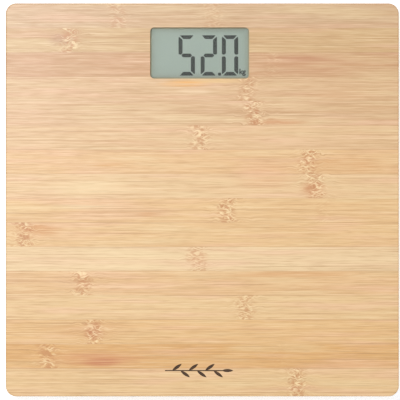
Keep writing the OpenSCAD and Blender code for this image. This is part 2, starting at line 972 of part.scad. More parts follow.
// Three wires from a rear foot's gauge straight across to the circuit board
module rear_wires(foot) {
    end_u = rear_end_u(foot);
    start_u = foot_x - gauge_size[1] / 2;
    for (wire = [-1:1])
        wire_run(end_u, foot_y + wire * wire_pitch, 0, start_u - end_u);
}

// Three wires from a front foot's gauge, back along the panel and in beside the battery bay
module front_wires(foot) {
    start_y = gauge_size[1] / 2 - foot_y;
    in_u = front_end_u(foot);
    for (wire = [-1:1]) {
        shift = wire * wire_pitch;
        wire_run(foot_x + shift, start_y, 90, harness_y - groove_bend - start_y);
        wire_bend(foot_x - groove_bend, harness_y - groove_bend, groove_bend + shift, 0);
        wire_run(
            in_u + turn_bend, harness_y + shift, 0, foot_x - groove_bend - in_u - turn_bend
        );
        wire_bend(in_u + turn_bend, harness_y + turn_bend, turn_bend - shift, 180);
        wire_run(in_u + shift, harness_y + turn_bend, 90, lead_end - harness_y - turn_bend);
    }
}

module wire_harness(foot) {
    color("firebrick")
        mirror([foot[1] < 0 ? 1 : 0, 0, 0])
            if (foot[2] > 0)
                rear_wires(foot);
            else
                front_wires(foot);
}

// A fillet of solder at a wire's end, between the wire and the board
module solder_dot(u, y) {
    height = pcb_bottom - wire_z + solder_r[0];
    translate([u, y, pcb_bottom - height])
        cylinder(r1 = solder_r[0], r2 = solder_r[1], h = height);
}

module solder_joints() {
    past_end = solder_r[1] + solder_gap;
    color("silver") {
        for (foot = FEET)
            mirror([foot[1] < 0 ? 1 : 0, 0, 0])
                for (wire = [-1:1])
                    if (foot[2] > 0)
                        solder_dot(rear_end_u(foot) - past_end, foot_y + wire * wire_pitch);
                    else
                        solder_dot(front_end_u(foot) + wire * wire_pitch, lead_end + past_end);
        for (lead = [0, 1])
            solder_dot(window_x + lead_x + lead_pitch * lead, lead_end + past_end);
    }
}

module tape(u, y, turn) {
    translate([u, y, board_bottom - tape_t])
        rotate(turn)
            translate([-tape_size[0] / 2, -tape_size[1] / 2, 0])
                cube([tape_size[0], tape_size[1], tape_t]);
}

// Adhesive patches that hold the wires in their grooves
module harness_tapes() {
    patches = 4;
    run_start = foot_r - foot_y;
    run_end = harness_y - groove_bend;
    ear_end = tray_w / 2 + 2 * ear_r;
    color("khaki")
        for (side = [-1, 1])
            mirror([side < 0 ? 1 : 0, 0, 0]) {
                for (patch = [1:patches - 1])
                    tape(foot_x, run_start + (run_end - run_start) * patch / patches, 0);
                tape((foot_x - groove_bend + ear_end) / 2, harness_y, 90);
                tape((foot_x - foot_r + tray_w / 2) / 2, foot_y, 90);
            }
}

// ---- Feet ---------------------------------------------------------------------------------

module cell_outline(grow) {
    rounded_rect(cell_w + 2 * grow, cell_w + 2 * grow, cell_corner + grow);
}

module foot_housing(foot) {
    color("whitesmoke")
        at_foot(foot)
            difference() {
                union() {
                    difference() {
                        translate([0, 0, rim_bottom])
                            cylinder(r = foot_r, h = plate_top - rim_bottom);
                        translate([0, 0, rim_bottom - 1])
                            cylinder(r = foot_inner_r, h = plate_bottom - rim_bottom + 1);
                    }
                    translate([0, 0, cell_bottom + seat_grip])
                        linear_extrude(height = plate_bottom - cell_bottom - seat_grip + EPS)
                            cell_outline(cell_gap + seat_wall);
                }
                translate([0, 0, cell_bottom - 1])
                    linear_extrude(height = cell_t + 1)
                        cell_outline(cell_gap);
                translate([0, 0, cell_bottom])
                    linear_extrude(height = plate_bottom - cell_bottom)
                        cell_outline(-seat_w);
                translate([-groove_w / 2, 0, cell_top])
                    cube([groove_w, foot_r + 1, cell_headroom]);
                at_lugs()
                    translate([
                        foot_inner_r - 1, -lug_w / 2 - slot_gap, lug_bottom - 0.1
                    ])
                        cube([foot_wall + 2, lug_w + 2 * slot_gap, lug_h + foot_travel + 0.3]);
                at_foot_screws()
                    translate([0, 0, plate_bottom - 1])
                        cylinder(
                            r = foot_screw[2] + screw_clearance, h = plate_t + 2
                        );
            }
}

// The load cell: a square frame with a tongue that bends, slotted beside its gauge beam. The
// foot's load bar bears on the tongue's tip.
module load_cell(foot) {
    color("silver")
        at_foot(foot)
            translate([0, 0, cell_bottom])
                linear_extrude(height = cell_t)
                    difference() {
                        cell_outline(0);
                        for (side = [-1, 1]) {
                            translate([
                                side * (tongue_w + tongue_slot) / 2,
                                (tongue_root - tongue_tip) / 2
                            ])
                                square([tongue_slot, tongue_root + tongue_tip], center = true);
                            translate([side * (beam_w + beam_slot[0]) / 2, 0])
                                square(beam_slot, center = true);
                        }
                        translate([-tongue_w / 2 - tongue_slot, -tongue_tip - tongue_slot])
                            square([tongue_w + 2 * tongue_slot, tongue_slot + EPS]);
                    }
}

module strain_gauge(foot) {
    color("ivory")
        at_foot(foot)
            translate([-gauge_size[0] / 2, -gauge_size[1] / 2, cell_top])
                cube(gauge_size);
}

module foot_cap(foot) {
    skirt_r = foot_inner_r - skirt_gap;
    color("gainsboro")
        at_foot(foot)
            difference() {
                union() {
                    translate([0, 0, cap_bottom])
                        cylinder(r1 = cap_r - cap_edge, r2 = cap_r, h = cap_edge);
                    translate([0, 0, cap_bottom + cap_edge])
                        cylinder(r = cap_r, h = cap_flange_t - cap_edge);
                    translate([0, 0, cap_flange_top - EPS])
                        difference() {
                            cylinder(r = skirt_r, h = skirt_top - cap_flange_top);
                            translate([0, 0, -1])
                                cylinder(
                                    r = skirt_r - skirt_t, h = skirt_top - cap_flange_top + 2
                                );
                        }
                    translate([0, 0, cap_flange_top - EPS])
                        cylinder(r = hub_r, h = cap_rib_h);
                    for (rib = [0:cap_ribs - 1])
                        rotate(360 * rib / cap_ribs)
                            translate([hub_r - 1, -cap_rib_t / 2, cap_flange_top - EPS])
                                cube([skirt_r - skirt_t - hub_r + 1.5, cap_rib_t, cap_rib_h]);
                    translate([
                        -load_bar[0] / 2, load_bar_y - load_bar[1] / 2, cap_flange_top - EPS
                    ])
                        cube([load_bar[0], load_bar[1], cell_bottom - cap_flange_top + EPS]);
                    at_lugs()
                        translate([skirt_r - 1, -lug_w / 2, lug_bottom])
                            cube([foot_inner_r + lug_reach - skirt_r + 1, lug_w, lug_h]);
                }
                translate([0, 0, cap_bottom - 1])
                    cylinder(r = cap_r - pad_rim + 0.1, h = pad_sunk + 1);
            }
}

module rubber_pad(foot) {
    pad_r = cap_r - pad_rim;
    tread_h = 0.5;
    rings = 4;
    ring_pitch = (pad_r - 3) / rings;
    color("gainsboro")
        at_foot(foot)
            difference() {
                union() {
                    cylinder(r1 = pad_r - 0.5, r2 = pad_r, h = 0.5);
                    translate([0, 0, 0.5])
                        cylinder(r = pad_r, h = pad_t - 0.5);
                }
                for (ring = [1:rings])
                    translate([0, 0, -EPS])
                        difference() {
                            cylinder(r = ring_pitch * ring + 0.5, h = tread_h);
                            translate([0, 0, -1])
                                cylinder(r = ring_pitch * ring - 0.5, h = tread_h + 2);
                        }
            }
}

// ---- Fasteners ----------------------------------------------------------------------------

module pcb_screws() {
    color("silver")
        at_pcb_corners(boss_x, boss_y)
            translate([0, 0, pcb_top])
                mirror([0, 0, 1])
                    screw(pcb_screw, pcb_t + pcb_screw_bite);
}

module tray_screws() {
    color("silver")
        at_ears()
            translate([0, 0, board_bottom - ear_t])
                screw(tray_screw, ear_t + tray_screw_bite - 1);
}

module foot_screws() {
    color("silver")
        for (foot = FEET)
            at_foot(foot)
                at_foot_screws()
                    translate([0, 0, plate_bottom])
                        screw(foot_screw, plate_t + foot_screw_bite - 1);
}

platform_board();
lens();
lens_gasket();
front_polariser();
front_glass();
rear_glass();
rear_reflector();
lcd_holder();
zebra_strip();
circuit_board();
controller_blob();
crystal();
capacitor();
chip_resistors();
switch_body();
switch_plunger();
unit_button();
electronics_tray();
battery_door();
battery_front();
battery_rear();
battery_springs();
contact_bridge();
contact_positive();
contact_negative();
battery_leads();
solder_joints();
pcb_screws();
tray_screws();
foot_screws();
harness_tapes();
for (foot = FEET) {
    foot_housing(foot);
    load_cell(foot);
    strain_gauge(foot);
    foot_cap(foot);
    rubber_pad(foot);
    wire_harness(foot);
}
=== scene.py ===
import bmesh
import bpy
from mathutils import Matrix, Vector


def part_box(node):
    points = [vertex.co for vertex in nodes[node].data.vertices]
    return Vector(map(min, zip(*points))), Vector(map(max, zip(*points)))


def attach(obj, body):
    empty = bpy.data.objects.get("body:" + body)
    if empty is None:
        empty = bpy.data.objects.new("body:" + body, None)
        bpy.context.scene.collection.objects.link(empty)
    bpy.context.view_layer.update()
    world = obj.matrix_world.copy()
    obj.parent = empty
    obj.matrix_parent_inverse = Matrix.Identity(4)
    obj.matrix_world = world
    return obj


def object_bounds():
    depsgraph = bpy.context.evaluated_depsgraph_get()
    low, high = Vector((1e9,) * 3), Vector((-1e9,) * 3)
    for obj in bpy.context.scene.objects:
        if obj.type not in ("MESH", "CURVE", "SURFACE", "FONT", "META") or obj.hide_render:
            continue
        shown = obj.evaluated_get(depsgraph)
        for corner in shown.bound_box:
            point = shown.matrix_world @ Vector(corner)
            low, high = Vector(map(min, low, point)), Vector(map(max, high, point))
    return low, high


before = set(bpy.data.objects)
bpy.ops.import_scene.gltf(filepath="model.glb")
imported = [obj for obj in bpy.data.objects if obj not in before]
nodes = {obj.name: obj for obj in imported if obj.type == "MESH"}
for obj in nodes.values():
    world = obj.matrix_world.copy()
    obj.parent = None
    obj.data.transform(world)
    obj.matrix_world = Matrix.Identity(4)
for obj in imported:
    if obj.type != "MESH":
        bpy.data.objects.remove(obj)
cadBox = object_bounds()
mm = 0.001
corners = ["front_left", "front_right", "rear_left", "rear_right"]
noiseSpan = (0.3, 0.7)  # what a noise really spans
soft = {"interpolation_type": "SMOOTHSTEP"}  # for a range that eases in and out
print("frame loaded:", len(nodes), "nodes")


def linear(hexText):
    parts = [int(hexText[i:i + 2], 16) / 255 for i in (1, 3, 5)]
    return [p / 12.92 if p <= 0.04045 else ((p + 0.055) / 1.055) ** 2.4 for p in parts] + [1.0]


# a node with its settings; a number key counts only the sockets in use, and a node given as an
# input is linked from its first output in use
def addNode(tree, kind, inputs=(), **settings):
    node = tree.nodes.new("ShaderNode" + kind)
    for name, value in settings.items():
        if name == "stops":  # a ramp's (place, hex or colour) pairs
            for spare in value[2:]:
                node.color_ramp.elements.new(1.0)
            for element, (place, colour) in zip(node.color_ramp.elements, value):
                element.position = place
                element.color = linear(colour) if isinstance(colour, str) else colour
        elif name == "steps":
            node.color_ramp.interpolation = value
        else:
            setattr(node, name, value)
    live = [s for s in node.inputs if s.enabled]
    for key, value in inputs.items() if isinstance(inputs, dict) else enumerate(inputs):
        socket = live[key] if isinstance(key, int) else next(s for s in live if s.name == key)
        if isinstance(value, bpy.types.Node):
            value = next(s for s in value.outputs if s.enabled)
        if isinstance(value, bpy.types.NodeSocket):
            tree.links.new(value, socket)
        else:
            socket.default_value = linear(value) if isinstance(value, str) else value
    return node


def newMaterial(name):
    material = bpy.data.materials.new(name)
    material.use_nodes = True
    material.node_tree.nodes.clear()
    return material, material.node_tree


def coat(nodeName, material):
    slots = nodes[nodeName].data.materials
    slots.clear()
    slots.append(material)


# laminated bamboo: pressed strips, sanded and lacquered, so it gives the eye straight silky fibre
# under a soft sheen, and a woven knuckle wherever the cane had a joint

bamboo = {
    "strip": 18.53,  # width of one strip, mm
    "firstJoint": 131.0,  # the glue line nearest the display edge, mm from the middle
    "halfBoard": 150.0,  # knuckle places run this far to both sides of the middle, mm
    "ply": 4.0,  # three plies, and the middle one runs across
    "lowerShift": 87.0,  # the lowest ply is other canes, so its knuckles lie elsewhere, mm
    "seeds": 59.0,  # spreads the strips out in the noise, so that no two are alike
    "grainDepth": 0.03,  # relief left by sanding, mm
    "gloss": (0.4, 0.54),
    "lying": (0.3, 0.8),  # how flat a face lies where its knuckles start to show, and show fully
    "lacquer": {"Coat Weight": 0.5, "Coat Roughness": 0.3, "Coat IOR": 1.5},
    "tones": {
        "ash": "#C9A47A", "clay": "#C8A16D", "rose": "#C59567", "oat": "#D4AC7E",
        "straw": "#DDB686", "butter": "#E2BC8A", "sand": "#E2B981", "cream": "#E7C798",
        "honey": "#E0B57F", "corn": "#E3BE88", "amber": "#E1B579", "toffee": "#DAA764",
        "wheat": "#E2BC86",
    },
    # one line for each strip from the display edge: its tone, then where its knuckle is (mm
    # from the middle) and how strong that is, then the same for a fainter second knuckle
    "strips": [
        ("ash", -65, 0.5, 7, 0.4), ("clay", -101, 0.9, 0, 0), ("rose", 54, 0.2, 0, 0),
        ("oat", 35, 0.7, 0, 0), ("oat", 39, 1.0, 0, 0), ("straw", -2, 0.8, 0, 0),
        ("honey", 81, 1.0, 0, 0), ("butter", 86, 0.9, 0, 0), ("sand", 19, 0.9, 92, 0.15),
        ("sand", -136, 1.0, 0, 0), ("cream", -4, 0.6, 0, 0), ("honey", -91, 0.9, 0, 0),
        ("corn", 33, 0.7, 0, 0), ("amber", -83, 0.9, 0, 0), ("toffee", -117, 0.8, 60, 0.1),
        ("wheat", 72, 0.9, 0, 0),
    ],
    # natural stains: middle x and y, half length, half width (mm), colour, strength
    "stains": [
        (-12, 88.6, 27, 3.4, "#EBA94B", 0.75), (12, 90.5, 26, 2.6, "#F0C982", 0.5),
        (88, 103, 52, 10, "#C08358", 0.4), (70, 108, 34, 4, "#B97A52", 0.45),
        (58, 59.3, 26, 3.0, "#CC844C", 0.6), (108, 26, 38, 10, "#D2904F", 0.4),
        (84, 7, 13, 8, "#C67E45", 0.55), (-73, 27, 20, 2.4, "#D39547", 0.5),
        (-41, -11, 17, 3.2, "#C98B48", 0.55), (-124, -23, 26, 8, "#CC8448", 0.6),
        (-4, -45, 11, 9, "#CB7C4E", 0.4), (65, -57, 70, 2.6, "#D0904F", 0.45),
        (-88, -99, 48, 11, "#C98F55", 0.4), (-83, -100, 10, 9, "#B9653A", 0.55),
        (-80, -121, 48, 8, "#CB7D50", 0.5), (-77, -124, 20, 5, "#BC6840", 0.55),
        (-108, 123, 13, 6, "#AD7658", 0.5), (-5, 83, 18, 2.5, "#F2D3AC", 0.5),
        (-60, -45, 56, 12, "#F5DEAC", 0.35), (-90, 8, 48, 7, "#F4DDAC", 0.35),
        (-88, -5, 46, 3, "#F6E2B4", 0.4), (48, 20, 32, 16, "#DFA173", 0.35),
        (104, 80, 40, 6, "#D29B6A", 0.3), (-128, 96, 34, 12, "#CFA07A", 0.3),
    ],
    # a stain's ragged rim and where it fades out and is full, as shares of its half sizes, then
    # how the fibre's noise streaks it: from and to, and the share of stain at each
    "stainRagged": 0.5, "stainFade": (1.0, 0.2), "stainStreaks": (0.3, 0.62, 0.35, 1.0),
    # fibre layers: length and width of a streak (mm) and where its noise starts; real bundles
    # are about 0.3 mm wide, too fine to show, so the narrowest are drawn twice as coarse
    "fibre": {
        "drift": (70.0, 7.0, 37.0), "line": (150.0, 0.65, 51.0), "long": (110.0, 1.0, 0.0),
        "middling": (34.0, 0.7, 11.0), "short": (11.0, 0.55, 23.0),
    },
    # tints of the fibre: layer, noise where it starts and is full, most, colour
    "tints": [
        ("drift", 0.5, 0.72, 0.35, "#EDBB9C"), ("drift", 0.5, 0.28, 0.35, "#E6CD9A"),
        ("long", 0.5, 0.75, 0.32, "#BE864F"), ("long", 0.5, 0.25, 0.26, "#F8DDB2"),
        ("middling", 0.5, 0.78, 0.36, "#B08453"), ("middling", 0.5, 0.25, 0.22, "#FCE0B4"),
        ("short", 0.5, 0.78, 0.32, "#B08453"), ("short", 0.5, 0.25, 0.16, "#FCE0B4"),
        ("line", 0.59, 0.73, 0.55, "#AC7B4A"),
    ],
    # knuckles, in mm: where the woven heart fades out and is full, the same for the bend of the
    # fibre round it, how far the heart wanders off its line and how often, and how far the fibre
    # swings in waves of what length and width
    "heart": (10.0, 1.5), "bend": (26.0, 2.0), "wander": 6.0, "wanderEvery": 5.0,
    "swing": 3.5, "swingWave": (7.0, 3.5),
    # the heart's weave: lean of its strokes, their length and width (mm), then the tints as for
    # the fibre: brown gaps and pale cells
    "lean": 0.38, "stroke": (4.4, 0.95), "weaveRelief": 0.12,
    "weave": [(0.6, 0.47, 0.75, "#BA7740"), (0.61, 0.74, 0.7, "#FBE0AE")],
    # glue: colour, half width as shares of a strip where it fades out and is full, how the
    # drifting noise makes it patchy, and half its width between plies (mm)
    "glue": "#A56F3C", "glueLine": (0.025, 0.005), "gluePatches": (0.3, 0.6, 0.0, 0.35),
    "plyLine": 0.12,
    # sawn ends: how squarely a face has to cut the canes, width and height of their bundles
    # (mm, drawn coarser than the real 0.3 so that they show), the bundles' shades from the
    # middle out, and how strongly they cover the fibre
    "cut": (0.55, 0.8), "bundle": (0.9, 0.7), "bundleShades": [(0.2, "#8A5A2E"), (0.36, "#C9995F")],
    "bundleCover": (0.36, 0.18, 0.45, 1.0),
}


def laminatedBamboo():
    material, tree = newMaterial("laminatedBamboo")
    where = addNode(tree, "TexCoord")
    inMm = addNode(tree, "VectorMath", {
        "Vector": where.outputs["Object"], "Scale": 1 / mm,
    }, operation="SCALE")
    x, y, z = addNode(tree, "SeparateXYZ", [inMm]).outputs
    facing = addNode(tree, "VectorMath", [where.outputs["Normal"]], operation="ABSOLUTE")
    facingX, facingY, facingZ = addNode(tree, "SeparateXYZ", [facing]).outputs
    boardLow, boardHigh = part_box("platform_board")
    core = (boardLow.z + boardHigh.z) / 2 / mm
    halfPly = bamboo["ply"] / 2

    # each ply has its own run: the middle one's along and across are swapped
    middle = addNode(tree, "Math", [z, core, halfPly], operation="COMPARE")
    topmost = addNode(tree, "Math", [z, core + halfPly], operation="GREATER_THAN")
    lowest = addNode(tree, "Math", [z, core - halfPly], operation="LESS_THAN")
    slid = addNode(tree, "Math", [lowest, bamboo["lowerShift"], x], operation="MULTIPLY_ADD")
    along = addNode(tree, "Mix", [middle, slid, y])
    across = addNode(tree, "Mix", [middle, y, x])
    fromJoint = addNode(tree, "Math", [bamboo["firstJoint"], across], operation="SUBTRACT")
    count = addNode(tree, "Math", [fromJoint, bamboo["strip"]], operation="DIVIDE")
    whole = addNode(tree, "Math", [count], operation="FLOOR")
    total = len(bamboo["strips"])
    halfStop = 0.5 / total  # reads each ramp in the middle of its stop
    lookup = addNode(tree, "MapRange", [whole, -1, total - 2, halfStop, 1 - halfStop])
    seed = addNode(tree, "Math", [lookup, bamboo["seeds"]], operation="MULTIPLY")

    # where the strip's knuckles are, and how strong
    halfBoard, wander = bamboo["halfBoard"], bamboo["wander"]
    tones, knuckles = [], ([], [])
    for i, (tone, *places) in enumerate(bamboo["strips"]):
        tones.append((i / total, bamboo["tones"][tone]))
        for stops, place, strength in zip(knuckles, places[::2], places[1::2]):
            stops.append((i / total, (place / (2 * halfBoard) + 0.5, strength, 0, 1)))
    colour = addNode(tree, "ValToRGB", [lookup], stops=tones, steps="CONSTANT")
    hearts, bends = [], []
    for stops in knuckles:
        knuckle = addNode(tree, "ValToRGB", [lookup], stops=stops, steps="CONSTANT")
        spot, strength = addNode(tree, "SeparateColor", [knuckle]).outputs[:2]
        centre = addNode(tree, "MapRange", [spot, 0, 1, -halfBoard, halfBoard])
        edge = addNode(tree, "CombineXYZ", [across, seed])
        ragged = addNode(tree, "TexNoise", {
            "Vector": edge, "Scale": 1 / bamboo["wanderEvery"], "Detail": 2.0,
        }, noise_dimensions="2D")
        strayed = addNode(tree, "MapRange", [ragged, 0, 1, -wander, wander])
        shifted = addNode(tree, "Math", [centre, strayed], operation="ADD")
        off = addNode(tree, "Math", [along, shifted], operation="SUBTRACT")
        off = addNode(tree, "Math", [off], operation="ABSOLUTE")
        hearts.append(addNode(tree, "MapRange", [off, *bamboo["heart"], 0.0, strength], **soft))
        bends.append(addNode(tree, "MapRange", [off, *bamboo["bend"], 0.0, strength], **soft))
    heart = addNode(tree, "Math", hearts, operation="MAXIMUM")
    flat = addNode(tree, "MapRange", [facingZ, *bamboo["lying"]], **soft)  # none down the edges
    heart = addNode(tree, "Math", [heart, flat], operation="MULTIPLY")
    bend = addNode(tree, "Math", bends, operation="MAXIMUM")

    # fibre runs straight, and swings round the knuckles
    swing = bamboo["swing"]
    waveLength, waveWidth = bamboo["swingWave"]
    laid = addNode(tree, "CombineXYZ", [along, across, z])
    loose = addNode(tree, "Mapping", {"Vector": laid, "Scale": (1 / waveLength, 1 / waveWidth, 0)})
    wave = addNode(tree, "TexNoise", {
        "Vector": loose, "W": seed, "Scale": 1.0, "Detail": 1.0,
    }, noise_dimensions="4D")
    swung = addNode(tree, "MapRange", [wave, 0, 1, -swing, swing])
    swung = addNode(tree, "Math", [swung, bend], operation="MULTIPLY")
    bent = addNode(tree, "Math", [across, swung], operation="ADD")
    laid = addNode(tree, "CombineXYZ", [along, bent, z])
    fibre = {}
    for layer, (length, width, start) in bamboo["fibre"].items():
        drawn = addNode(tree, "Mapping", {
            "Vector": laid, "Location": (0, 0, start), "Scale": (1 / length, 1 / width, 1 / width),
        })
        fibre[layer] = addNode(tree, "TexNoise", {
            "Vector": drawn, "W": seed, "Scale": 1.0, "Detail": 1.0, "Roughness": 0.5,
        }, noise_dimensions="4D")
    for layer, low, high, most, tint in bamboo["tints"]:
        share = addNode(tree, "MapRange", [fibre[layer], low, high, 0.0, most], **soft)
        colour = addNode(tree, "Mix", [share, colour, tint], data_type="RGBA")

    # stains fade out along the fibre and leave streaks of clean wood; the huge third size keeps
    # depth out of their shape
    streaky = addNode(tree, "MapRange", [fibre["middling"], *bamboo["stainStreaks"]], **soft)
    streaky = addNode(tree, "Math", [streaky, topmost], operation="MULTIPLY")
    ragged = bamboo["stainRagged"]
    cloudy = addNode(tree, "MapRange", [fibre["drift"], 0, 1, -ragged, ragged])
    for stainX, stainY, halfLength, halfWidth, tint, strength in bamboo["stains"]:
        near = addNode(tree, "Mapping", {
            "Vector": laid, "Location": (stainX, stainY, 0), "Scale": (halfLength, halfWidth, 1e6),
        }, vector_type="TEXTURE")
        away = addNode(tree, "VectorMath", [near], operation="LENGTH")
        away = addNode(tree, "Math", [away, cloudy], operation="ADD")
        share = addNode(tree, "MapRange", [away, *bamboo["stainFade"], 0.0, strength], **soft)
        share = addNode(tree, "Math", [share, streaky], operation="MULTIPLY")
        colour = addNode(tree, "Mix", [share, colour, tint], data_type="RGBA")

    # a knuckle's heart is woven from strokes that lean both ways
    strokeLength, strokeWidth = bamboo["stroke"]
    leaning = []
    for slope in (bamboo["lean"], -bamboo["lean"]):
        skewed = addNode(tree, "Math", [along, slope, bent], operation="MULTIPLY_ADD")
        strokes = addNode(tree, "CombineXYZ", [along, skewed])
        strokes = addNode(tree, "Mapping", {
            "Vector": strokes, "Scale": (1 / strokeLength, 1 / strokeWidth, 1),
        })
        leaning.append(addNode(tree, "TexNoise", {
            "Vector": strokes, "W": seed, "Scale": 1.0, "Detail": 0.0, "Distortion": 0.4,
        }, noise_dimensions="4D"))
    cells = addNode(tree, "Math", leaning, operation="MAXIMUM")
    for low, high, most, tint in bamboo["weave"]:
        share = addNode(tree, "MapRange", [cells, low, high, 0.0, most], **soft)
        share = addNode(tree, "Math", [share, heart], operation="MULTIPLY")
        colour = addNode(tree, "Mix", [share, colour, tint], data_type="RGBA")

    # glue lines between strips and between plies
    gap = addNode(tree, "Math", [count, 0.5], operation="PINGPONG")
    patchy = addNode(tree, "MapRange", [fibre["drift"], *bamboo["gluePatches"]], **soft)
    glue = addNode(tree, "MapRange", [gap, *bamboo["glueLine"], 0.0, patchy], **soft)
    fromCore = addNode(tree, "Math", [z, core], operation="SUBTRACT")
    fromCore = addNode(tree, "Math", [fromCore], operation="ABSOLUTE")
    plyGap = addNode(tree, "Math", [fromCore, halfPly, bamboo["plyLine"]], operation="COMPARE")
    glue = addNode(tree, "Math", [glue, plyGap], operation="MAXIMUM")
    colour = addNode(tree, "Mix", [glue, colour, bamboo["glue"]], data_type="RGBA")

    # cut ends of the canes show as dark dots in a browner ground
    bundleWidth, bundleHeight = bamboo["bundle"]
    sawn = addNode(tree, "Mix", [middle, facingX, facingY])
    sawn = addNode(tree, "MapRange", [sawn, *bamboo["cut"]], **soft)
    ends = addNode(tree, "CombineXYZ", [across, z])
    ends = addNode(tree, "Mapping", {"Vector": ends, "Scale": (1 / bundleWidth, 1 / bundleHeight, 1)})
    dots = addNode(tree, "TexVoronoi", {"Vector": ends, "Scale": 1.0})
    cover = addNode(tree, "MapRange", [dots, *bamboo["bundleCover"]], **soft)
    share = addNode(tree, "Math", [sawn, cover], operation="MULTIPLY")
    cut = addNode(tree, "ValToRGB", [dots], stops=bamboo["bundleShades"])
    colour = addNode(tree, "Mix", [share, colour, cut], data_type="RGBA")

    gloss = addNode(tree, "MapRange", [fibre["short"], *noiseSpan, *bamboo["gloss"]])
    woven = addNode(tree, "Math", [cells, heart], operation="MULTIPLY")
    relief = addNode(tree, "Math", [
        woven, bamboo["weaveRelief"], fibre["short"],
    ], operation="MULTIPLY_ADD")
    relief = addNode(tree, "Math", [relief, glue], operation="SUBTRACT")
    bump = addNode(tree, "Bump", {
        "Height": relief, "Strength": 0.35, "Distance": bamboo["grainDepth"] * mm,
    })
    shader = addNode(tree, "BsdfPrincipled", {
        "Base Color": colour, "Roughness": gloss, "Normal": bump, **bamboo["lacquer"],
    })
    addNode(tree, "OutputMaterial", [shader])
    return material


coat("platform_board", laminatedBamboo())

# the sprig burnt into the front by a laser: its sunk faces take a charred, sooty brown, matt and
# streaked along the fibre

engraving = {
    "shades": [(0.35, "#382210"), (0.75, "#563A1F")],  # char, then ash
    "fromFront": 19.8, "halfDepth": 7.0,  # the band of the board that holds the sprig, mm
    "sunk": (0.5, 0.01),  # its floor lies between these depths, mm
    "streaks": 0.9, "stretch": 0.15,  # soot streaks in each mm, and how drawn out they are
    "depth": 0.05,  # relief of the soot, mm
}


def laserCharredBamboo():
    material, tree = newMaterial("laserCharredBamboo")
    where = addNode(tree, "TexCoord")
    along = addNode(tree, "Mapping", {
        "Vector": where.outputs["Object"], "Scale": (engraving["stretch"], 1, 1),
    })
    soot = addNode(tree, "TexNoise", {
        "Vector": along, "Scale": engraving["streaks"] / mm, "Detail": 2.0,
    })
    shade = addNode(tree, "ValToRGB", [soot], stops=engraving["shades"])
    bump = addNode(tree, "Bump", {"Height": soot, "Strength": 0.4, "Distance": engraving["depth"] * mm})
    shader = addNode(tree, "BsdfPrincipled", {"Base Color": shade, "Roughness": 0.7, "Normal": bump})
    addNode(tree, "OutputMaterial", [shader])
    return material


panel = nodes["platform_board"].data
panel.materials.append(laserCharredBamboo())
panelLow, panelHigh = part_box("platform_board")
markY = panelLow.y + engraving["fromFront"] * mm
deepest, shallowest = (panelHigh.z - depth * mm for depth in engraving["sunk"])
for face in panel.polygons:
    inBand = abs(face.center.y - markY) < engraving["halfDepth"] * mm
    if inBand and deepest < face.center.z < shallowest:
        face.material_index = 1
print("bamboo panel done")


# moulded and cast parts: one plain colour that drifts a little with the flow of the melt, and the
# fine grain of an eroded mould, which gives the eye a soft broken sheen instead of a mirror; real
# spark grain is about 0.1 mm, too fine to show, so it is drawn at 0.7 mm, and the others to suit

moulded = {
    # hex, roughness, grain (mm), grain depth (mm), IOR
    "absSparkGrain": ("#E6E5E0", 0.46, 0.7, 0.04, 1.53),
    "absGreyButton": ("#8E9295", 0.42, 0.7, 0.03, 1.53),
    "nylonBlack": ("#1E1E1F", 0.45, 0.5, 0.02, 1.53),
    "tpeRubber": ("#6F7274", 0.75, 0.5, 0.06, 1.52),
    "closedCellFoam": ("#847A66", 0.9, 0.6, 0.12, 1.5),
    "rtvSilicone": ("#DEDBCF", 0.35, 1.6, 0.12, 1.41),
    "zebraSilicone": ("#55565A", 0.6, 0.4, 0.02, 1.41),
    "pottingEpoxy": ("#141416", 0.22, 2.0, 0.05, 1.55),
    "glazedAlumina": ("#2A2622", 0.25, 0.4, 0.01, 1.6),
    "shrinkSleeve": ("#27324F", 0.3, 0.8, 0.02, 1.54),
    "pearlReflector": ("#8C938A", 0.3, 0.8, 0.01, 1.5),
}
mouldedParts = {
    "absSparkGrain": ["lcd_holder", "electronics_tray", "battery_door"]
    + [part + corner for part in ("foot_housing_", "foot_cap_") for corner in corners],
    "absGreyButton": ["unit_button"],
    "nylonBlack": ["switch_body", "switch_plunger"],
    "tpeRubber": ["rubber_pad_" + corner for corner in corners],
    "closedCellFoam": ["lens_gasket"],
    "rtvSilicone": ["strain_gauge_" + corner for corner in corners],
    "zebraSilicone": ["zebra_strip"],
    "pottingEpoxy": ["controller_blob"],
    "glazedAlumina": ["chip_resistors"],
    "shrinkSleeve": ["capacitor"],
    "pearlReflector": ["rear_reflector"],
}
# flow marks (mm), their darkest shade, the noise that they span, and how far the gloss swings
melt = {"flow": 28.0, "shade": 0.9, "span": (0.35, 0.75), "swing": 0.06}


def mouldedMaterial(name, hexText, roughness, grain, depth, ior):
    material, tree = newMaterial(name)
    where = addNode(tree, "TexCoord").outputs["Object"]
    speck = addNode(tree, "TexNoise", {"Vector": where, "Scale": 1 / (grain * mm), "Detail": 2.0})
    flow = addNode(tree, "TexNoise", {"Vector": where, "Scale": 1 / (melt["flow"] * mm), "Detail": 2.0})
    base = linear(hexText)
    shaded = [c * melt["shade"] for c in base[:3]] + [1]
    drift = addNode(tree, "ValToRGB", [flow], stops=list(zip(melt["span"], (base, shaded))))
    smoothest, roughest = roughness - melt["swing"], roughness + melt["swing"]
    rough = addNode(tree, "MapRange", [speck, *noiseSpan, smoothest, roughest])
    bump = addNode(tree, "Bump", {"Height": speck, "Strength": 0.4, "Distance": depth * mm})
    shader = addNode(tree, "BsdfPrincipled", {
        "Base Color": drift, "Roughness": rough, "IOR": ior, "Normal": bump,
    })
    addNode(tree, "OutputMaterial", [shader])
    return material


for name, settings in moulded.items():
    made = mouldedMaterial(name, *settings)
    for nodeName in mouldedParts[name]:
        coat(nodeName, made)
print("moulded parts done")


